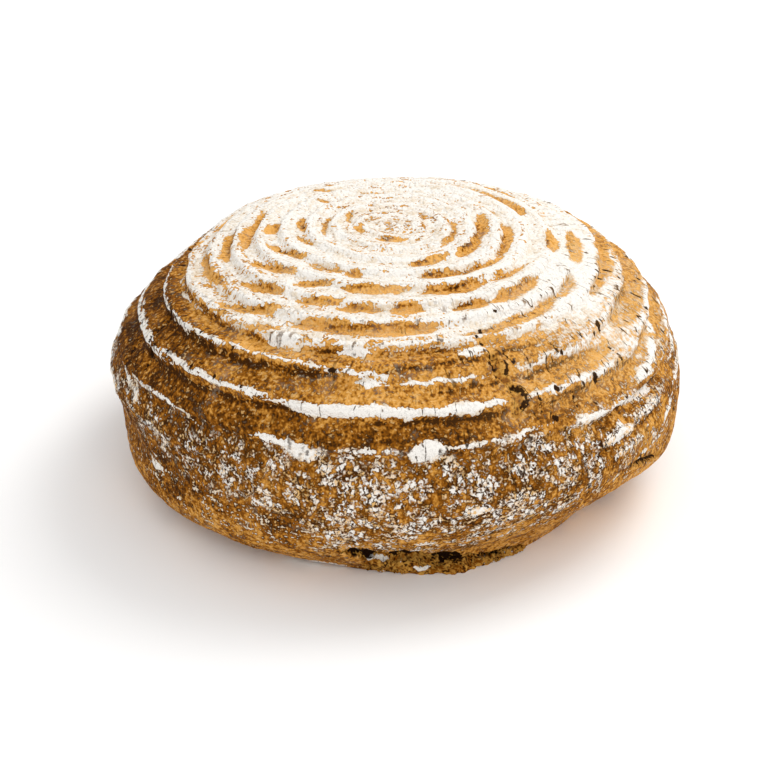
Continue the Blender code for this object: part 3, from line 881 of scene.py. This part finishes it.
def crust_finish(settings):
    """Floured and bare crust, crackled on the side and torn at the foot."""
    finish = Finish("Floured crust")
    place = finish.node("ShaderNodeTexCoord", output=3)
    flow = finish.stored("flow", vector=True)
    cover, crackle, bake = finish.stored("cover"), finish.stored("crackle"), finish.stored("bake")
    crumb, torn, dusty = finish.stored("crumb"), finish.stored("torn"), finish.stored("dusty")
    crest, brow, cracking = finish.stored("crest"), finish.stored("brow"), finish.stored("cracking")

    # Grain that runs round the rings, down the side, and every way
    around = finish.shifted(finish.scaled(place, (0.3, 0.3, 0.0)), finish.scaled(flow, (0.0, 0.0, 1.0)))
    round_rings = finish.grain(around, ROUND_GRAIN, 1.5, 0.5)
    downhill = finish.grain(finish.scaled(flow, (1.0, 1.0, 0.4)), DOWNHILL_GRAIN, 1.0, 0.5)
    patch = finish.grain(place, PATCH, 1.0)
    coarse = finish.grain(place, COARSE, 1.5)
    mottle = finish.grain(place, MOTTLE, 1.0, 0.5)
    grit = finish.grain(place, GRIT, 0.0)

    # The edge of the flour
    edge = round_rings * 0.65 + coarse * 0.35 + mottle * 0.45 + grit * 0.4 + patch * 0.3
    edge = edge + downhill * (dusty * 0.45 + 0.25)
    flour = (cover + edge).above(0.0, dusty * 1.5 + settings.flour_edge / MM)

    # Flour that cracked into flakes where the side swelled, and came off in places
    sockets = {"Vector": place, "Scale": 1 / FLAKE_WANDER_SIZE, "Detail": 1.0}
    wobble = finish.node("ShaderNodeTexNoise", None, sockets, output=1)
    wobble = finish.scaled(wobble, (FLAKE_WANDER, FLAKE_WANDER, FLAKE_WANDER))
    flakes = finish.shifted(finish.scaled(flow, (1.0, 1.0, 0.7)), wobble)
    to_crack = finish.cells(flakes, FLAKE, "DISTANCE_TO_EDGE") * (FLAKE / MM)
    flake_tint = finish.cells(flakes, FLAKE, "F1", output=1)
    inside_flake = (to_crack + mottle * 0.12 + grit * 0.1).above(0.15, 0.26)
    cluster = cover * 1.3 + patch * 0.6 + coarse * 0.55 + round_rings * 0.3 + 1.0
    solid = (cover + mottle * 0.3 + grit * 0.2).above(1.05, 0.5)
    kept = (flake_tint * 1.3 + cluster + mottle * 0.5 + grit * 0.35).above(0.95, 0.7)
    kept = kept * (inside_flake + solid).clipped()
    flour = flour * (1 - crackle) + kept * crackle
    # Rims between the flakes: dark cracks, and painted shade along each flake's edge
    flake_crack_and_shade = (1 - inside_flake) * (1 - solid) * crackle * cluster.above(-0.3, 1.2)
    flake_crack_and_shade = flake_crack_and_shade * (coarse + mottle * 0.6).above(-0.45, 1.0)

    # Cracks: stored ones, and short ones down the side and across the ridges
    crack_line = finish.grain(finish.scaled(flow, (1.0, 1.0, 0.22)), CRACK_SPACING, 1.0).size()
    crack_place = finish.grain(finish.scaled(flow, (1.0, 1.0, 0.8)), CRACK_PATCH, 1.0, 0.5)
    crack = (1 - crack_line.above(0.06, 0.06)) * crack_place.above(0.45, 0.25)
    crack = crack * (1 - crackle * 0.5) * cracking
    notch = finish.grain(finish.scaled(flow, (1.0, 1.0, 0.15)), NOTCH_SPACING, 0.0).size()
    notch = (1 - (notch + grit * 0.05).above(0.1, 0.12)) * (coarse + mottle * 0.5).above(0.2, 0.5)
    crack = crack + notch * crest * cracking
    crack = crack + (finish.stored("crack") + mottle * 0.3 + grit * 0.25).above(0.0, 0.3)
    crack = (crack + (finish.stored("pit") + mottle * 0.1 + grit * 0.08).above(0.12, 0.2)).clipped()
    flour = flour * (1 - 0.95 * crack) * (1 - (torn + mottle * 0.25).above(0.5, 0.3))

    # Bare crust, mottled, with dust and painted shade under each ridge
    tone = bake + mottle * 0.2 + grit * 0.15 + coarse * 0.18 + patch * 0.1 + downhill * 0.12 - torn * 0.2
    tone = tone + cover.above(0.3, 0.5) * (1 - dusty.clipped()) * 0.38
    # Painted shade under each ridge, darkening the bare crust's tone
    tone = tone + (brow + mottle * 0.35 + grit * 0.2).above(0.6, 0.6) * 0.22
    tints = (settings.crust_pale, settings.crust_golden, settings.crust_brown, settings.crust_dark)
    stops = tuple(zip(TINT_PLACES, tints))
    crust = finish.node("ShaderNodeValToRGB", {"stops": stops}, {0: tone})
    dust = (grit * 0.8 - mottle * 0.8 + coarse * 0.3 + dusty * 0.5 - bake * 0.9 + 0.5).above(0.95, 0.6)
    crust = finish.mixed(dust * 0.7, crust, settings.dust_colour)
    crust = finish.mixed(dusty * 0.3, crust, settings.dust_colour)
    haze = (patch * 0.5 + coarse * 0.6 + mottle * 0.4 + grit * 0.3 - bake * 1.2).above(0.35, 1.4)
    crust = finish.mixed(haze * 0.3, crust, settings.flour_shade)
    # The flakes' rims, dark cracks with painted shade
    crust = finish.mixed(flake_crack_and_shade * 0.95, crust, settings.crust_dark)

    # Torn crumb
    raw = (mottle * 0.9 + coarse * 0.7 + grit * 0.5).above(-0.1, 1.4)
    raw = finish.mixed(raw, settings.crumb_colour, settings.crust_brown)
    # Dark patches of painted shade for the crumb's holes
    raw = finish.mixed((grit + mottle * 0.8 - coarse * 0.4).above(0.75, 0.6), raw, settings.crust_dark)
    rawness = (crumb * 1.2 + mottle * 0.2 + grit * 0.1).above(0.6, 0.3)
    crust = finish.mixed((rawness + torn * 0.75).clipped(), crust, raw)

    # Flour, whiter where it lies thick and along the ridge crests, where the white is partly painted
    # highlight
    thin = grit * 0.35 + mottle * 0.45 + coarse * 0.5 + patch * 0.3 - cover * 0.5
    thin = thin - crest * 0.7 - round_rings * 0.25
    thin = (thin.above(0.05, 1.5) + (1 - flour) * 0.4).clipped()
    smooth = finish.mixed(thin, settings.flour_colour, settings.flour_shade)
    thin = (1.3 - flake_tint * 1.1 - kept * 0.6 + mottle * 0.4 + grit * 0.3).above(0.55, 0.9)
    flakes_tone = finish.mixed(thin, settings.flour_colour, settings.dust_colour)
    flour_tone = finish.mixed(crackle, smooth, flakes_tone)
    flaked = (1 - rawness * (1 - (cover + mottle * 0.3).above(0.7, 0.5))).clipped()
    colour = finish.mixed(flour * flaked, crust, flour_tone)
    # Painted shade: near black inside cracks and pits
    colour = finish.mixed(crack * 0.95, colour, settings.crack_shade_colour)
    # Painted shade: black in the hollows under the lip of the burst
    cavity = (finish.stored("cavity") + mottle * 0.3 + grit * 0.15).above(0.0, 0.3)
    colour = finish.mixed(cavity, colour, settings.crack_shade_colour)

    height = flour * 0.12 + mottle * 0.2 + coarse * 0.14 + grit * 0.12 - crack * 0.4 - flake_crack_and_shade * 0.25
    return finish.dress(colour, 0.8 + flour * 0.1, height, settings.gloss)


def crumb_finish(settings):
    """Torn crumb, golden and brown in patches, with dark patches of painted shade for its hollows."""
    finish = Finish("Torn crumb")
    place = finish.node("ShaderNodeTexCoord", output=3)
    coarse = finish.grain(place, CRUMB_COARSE, 1.0)
    fine = finish.grain(place, CRUMB_FINE, 1.0)
    shade = finish.mixed((coarse + fine * 0.7).above(0.2, 0.9), settings.crumb_colour, settings.crust_brown)
    # Painted shade: dark patches for the crumb's hollows
    shade = finish.mixed((fine - coarse * 0.8).above(0.9, 0.5), shade, settings.crust_dark)
    dusted = (finish.grain(place, CRUMB_DUST, 1.0) + fine * 0.6).above(1.05, 0.25)
    shade = finish.mixed(dusted * 0.9, shade, settings.flour_colour)
    return finish.dress(shade, 0.85, fine * 0.25 + coarse * 0.2, settings.gloss)


def floor_finish(settings):
    """Plain matt white."""
    finish = Finish("Studio floor")
    finish.feed(finish.surface.inputs["Base Color"], tuple(settings.floor_colour))
    finish.feed(finish.surface.inputs["Roughness"], 0.9)
    return finish.material


def colour_property(name, description, default):
    """A colour setting."""
    return bpy.props.FloatVectorProperty(
        name=name, description=description, subtype="COLOR", size=3, min=0.0, max=1.0, default=default
    )


def length_property(name, description, default):
    """A small length setting."""
    return bpy.props.FloatProperty(
        name=name, description=description, default=default, unit="LENGTH", precision=5
    )


class CrustSettings(bpy.types.PropertyGroup):
    """Sizes and colours of the crust."""

    ridge_height: length_property("Ridge height", "Height of the cane ridges", 1.8 * MM)
    groove_depth: length_property("Groove depth", "Depth of the bare marks", 1.1 * MM)
    flour_edge: length_property("Flour edge", "Softness of the flour's edge", 0.25 * MM)
    gloss: bpy.props.FloatProperty(name="Gloss", description="Specular level of the crust", default=0.05)
    flour_colour: colour_property("Flour", "Colour of thick flour", (0.87, 0.835, 0.78))
    flour_shade: colour_property("Flour shade", "Colour of thin flour", (0.72, 0.595, 0.44))
    dust_colour: colour_property("Dust", "Colour of flour dust on the bare crust", (0.76, 0.46, 0.17))
    crust_pale: colour_property("Pale crust", "Colour of the palest bare crust", (0.76, 0.40, 0.11))
    crust_golden: colour_property("Golden crust", "Colour of golden crust", (0.60, 0.275, 0.045))
    crust_brown: colour_property("Brown crust", "Colour of brown crust", (0.25, 0.082, 0.004))
    crust_dark: colour_property("Dark crust", "Colour of the darkest crust", (0.05, 0.016, 0.0015))
    # Painted shade inside cracks, pits and the hollows under the burst's lip
    crack_shade_colour: colour_property("Crack", "Colour inside cracks", (0.02, 0.007, 0.002))
    crumb_colour: colour_property("Crumb", "Colour of torn crumb", (0.56, 0.29, 0.055))


class CrumbSettings(bpy.types.PropertyGroup):
    """The torn crumb in the burst."""

    count: bpy.props.IntProperty(name="Lumps", description="How many lumps of crumb", default=90, min=1)
    size: length_property("Size", "Half width of the largest lump", 3.2 * MM)
    seed: bpy.props.IntProperty(name="Seed", description="Seed of the draw", default=3)


class StageSettings(bpy.types.PropertyGroup):
    """The studio round the loaf."""

    floor_colour: colour_property("Floor", "Colour of the floor and backdrop", (0.97, 0.97, 0.97))
    key_power: bpy.props.FloatProperty(
        name="Key light", description="Power of the soft light above", default=11.5, unit="POWER"
    )
    fill_power: bpy.props.FloatProperty(
        name="Fill light", description="Power of the light beside the camera", default=6.5, unit="POWER"
    )
    sky: bpy.props.FloatProperty(name="Sky", description="Strength of the even light", default=0.78)


def add_lump(shape, azimuth, height, size, draw):
    """A ragged lump or flake of crumb, half sunk in the foot at an azimuth and height."""
    level = 1 + float(np.interp(-height, -SECTION_HEIGHTS[WAIST_INDEX:], LEVELS[WAIST_INDEX:] - 1))
    place = place_on_form(azimuth, float(np.interp(level, LEVELS, ARCS)))
    out = Vector((cos(radians(azimuth)), sin(radians(azimuth)), 0))
    middle = Vector(place) + Vector(LOAF_SHIFT) - out * draw.uniform(0.5, 1.4) * size
    made = bmesh.ops.create_icosphere(shape, subdivisions=2, radius=1.0)["verts"]
    stretch = Vector((draw.uniform(0.7, 1.1), draw.uniform(0.5, 1.3), draw.uniform(0.2, 0.6))) * size
    turn = Matrix.Rotation(radians(azimuth), 3, "Z") @ Matrix.Rotation(draw.uniform(-1.0, 1.0), 3, "X")
    seed = Vector(draw.uniform(-50, 50, 3))
    for vertex in made:
        broad, fine = noise.noise(vertex.co * 1.7 + seed), noise.noise(vertex.co * 4.0 + seed)
        ragged = 1 + 0.55 * broad + 0.3 * fine
        vertex.co = middle + turn @ (vertex.co * ragged * stretch)
        vertex.co.z = max(vertex.co.z, 0.2 * MM)


def add_piece(context, name, mesh, material):
    """A smooth piece of a mesh and a material, in the scene."""
    mesh.shade_smooth()
    mesh.materials.append(material)
    piece = bpy.data.objects.new(name, mesh)
    context.scene.collection.objects.link(piece)
    return piece


class LOAF_OT_crust(bpy.types.Operator):
    """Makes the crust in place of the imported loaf"""

    bl_idname = "loaf.crust"
    bl_label = "Crust"

    def execute(self, context):
        settings = context.scene.loaf_crust
        crust = Crust(settings)
        points = crust.points() + LOAF_SHIFT
        mesh = bpy.data.meshes.new("crust")
        mesh.from_pydata(points.tolist(), [], [tuple(int(i) for i in face) for face in crust.faces()])
        for name, values in crust.values().items():
            add_numbers(mesh, name, values)
        add_vectors(mesh, "flow", crust.flow)
        if mesh.validate():
            self.report({"ERROR"}, "the crust's mesh had faults")
        piece = add_piece(context, "crust", mesh, crust_finish(settings))
        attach(piece, BODY)
        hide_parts(LOAF_NODE)
        return {"FINISHED"}


def make_floor(context, settings):
    """A pale floor that curves up into a backdrop."""
    half, depth, height, bend, steps = 3.0, 2.2, 2.4, 0.9, 12
    profile = [(-half, 0.0), (depth - bend, 0.0)]
    for step in range(1, steps + 1):
        angle = step / steps * pi / 2
        profile.append((depth - bend + bend * sin(angle), bend - bend * cos(angle)))
    profile.append((depth, height))
    points = [(x, y, z) for y, z in profile for x in (-half, half)]
    faces = [(2 * i, 2 * i + 1, 2 * i + 3, 2 * i + 2) for i in range(len(profile) - 1)]
    mesh = bpy.data.meshes.new("floor")
    mesh.from_pydata(points, [], faces)
    floor = add_piece(context, "floor", mesh, floor_finish(settings))


def make_light(context, name, power, place, size, colour):
    """A soft square light."""
    light = bpy.data.lights.new(name, "AREA")
    light.shape = "SQUARE"
    light.size = size
    light.energy = power
    light.color = colour
    lamp = bpy.data.objects.new(name, light)
    lamp.location = place
    lamp.rotation_euler = (Vector(LIGHTS_AIM) - Vector(place)).to_track_quat("-Z", "Y").to_euler()
    context.scene.collection.objects.link(lamp)


def make_camera(context):
    """The photograph's camera."""
    lens = bpy.data.cameras.new("camera")
    lens.sensor_width = SENSOR
    lens.lens = LENS
    lens.clip_end = FAR_CLIP
    camera = bpy.data.objects.new("camera", lens)
    rise = radians(CAMERA_ELEVATION)
    camera.location = CAMERA_STAND + CAMERA_DISTANCE * Vector((0, -cos(rise), sin(rise)))
    camera.rotation_euler = (CAMERA_AIM - camera.location).to_track_quat("-Z", "Y").to_euler()
    context.scene.collection.objects.link(camera)
    context.scene.camera = camera


class LOAF_OT_crumb(bpy.types.Operator):
    """Makes the torn crumb that shows in the burst of the foot"""

    bl_idname = "loaf.crumb"
    bl_label = "Torn crumb"

    def execute(self, context):
        settings = context.scene.loaf_crumb
        draw = np.random.default_rng(settings.seed)
        shape = bmesh.new()
        start, end, tall, low = TORN_FOOT
        for _ in range(settings.count):
            share = draw.uniform(0.04, 0.96)
            azimuth = start + (end - start) * share
            edge = tall + (low - tall) * share
            height = max(1.2 * MM, edge - draw.uniform(9, 17) * MM)
            size = draw.uniform(0.5, 1.0) * settings.size * (0.6 + 0.4 * min(1, edge / (12 * MM)))
            add_lump(shape, azimuth, height, size, draw)
        mesh = bpy.data.meshes.new("burst_crumb")
        shape.to_mesh(mesh)
        shape.free()
        piece = add_piece(context, "burst_crumb", mesh, crumb_finish(context.scene.loaf_crust))
        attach(piece, BODY)
        return {"FINISHED"}


class LOAF_OT_stage(bpy.types.Operator):
    """Makes the floor, the soft light and the camera"""

    bl_idname = "loaf.stage"
    bl_label = "Stage"

    def execute(self, context):
        settings = context.scene.loaf_stage
        make_floor(context, settings)
        make_light(context, "key light", settings.key_power, *KEY_LIGHT)
        make_light(context, "fill light", settings.fill_power, *FILL_LIGHT)
        world = bpy.data.worlds.new("studio")
        world.use_nodes = True
        sky = world.node_tree.nodes["Background"]
        sky.inputs["Color"].default_value = WHITE
        sky.inputs["Strength"].default_value = settings.sky
        context.scene.world = world
        context.scene.view_settings.view_transform = "Standard"
        make_camera(context)
        return {"FINISHED"}


class LOAF_PT_panel(bpy.types.Panel):
    """Lists the pieces of the loaf"""

    bl_label = "Sourdough loaf"
    bl_idname = "LOAF_PT_panel"
    bl_space_type = "VIEW_3D"
    bl_region_type = "UI"
    bl_category = "Loaf"

    def draw(self, context):
        scene = context.scene
        pairs = (
            (scene.loaf_crust, "loaf.crust"),
            (scene.loaf_crumb, "loaf.crumb"),
            (scene.loaf_stage, "loaf.stage"),
        )
        for group, operator in pairs:
            box = self.layout.box()
            for name in group.__annotations__:
                box.prop(group, name)
            box.operator(operator)


CLASSES = (
    CrustSettings, CrumbSettings, StageSettings,
    LOAF_OT_crust, LOAF_OT_crumb, LOAF_OT_stage, LOAF_PT_panel,
)


def register():
    """Registers the classes and their settings."""
    for item in CLASSES:
        bpy.utils.register_class(item)
    bpy.types.Scene.loaf_crust = bpy.props.PointerProperty(type=CrustSettings)
    bpy.types.Scene.loaf_crumb = bpy.props.PointerProperty(type=CrumbSettings)
    bpy.types.Scene.loaf_stage = bpy.props.PointerProperty(type=StageSettings)


def unregister():
    """Takes them away again."""
    del bpy.types.Scene.loaf_stage
    del bpy.types.Scene.loaf_crumb
    del bpy.types.Scene.loaf_crust
    for item in reversed(CLASSES):
        bpy.utils.unregister_class(item)


def main():
    """Dresses the loaf and its stage."""
    register()
    bpy.ops.loaf.crust()
    bpy.ops.loaf.crumb()
    bpy.ops.loaf.stage()


if __name__ == "__main__":
    main()
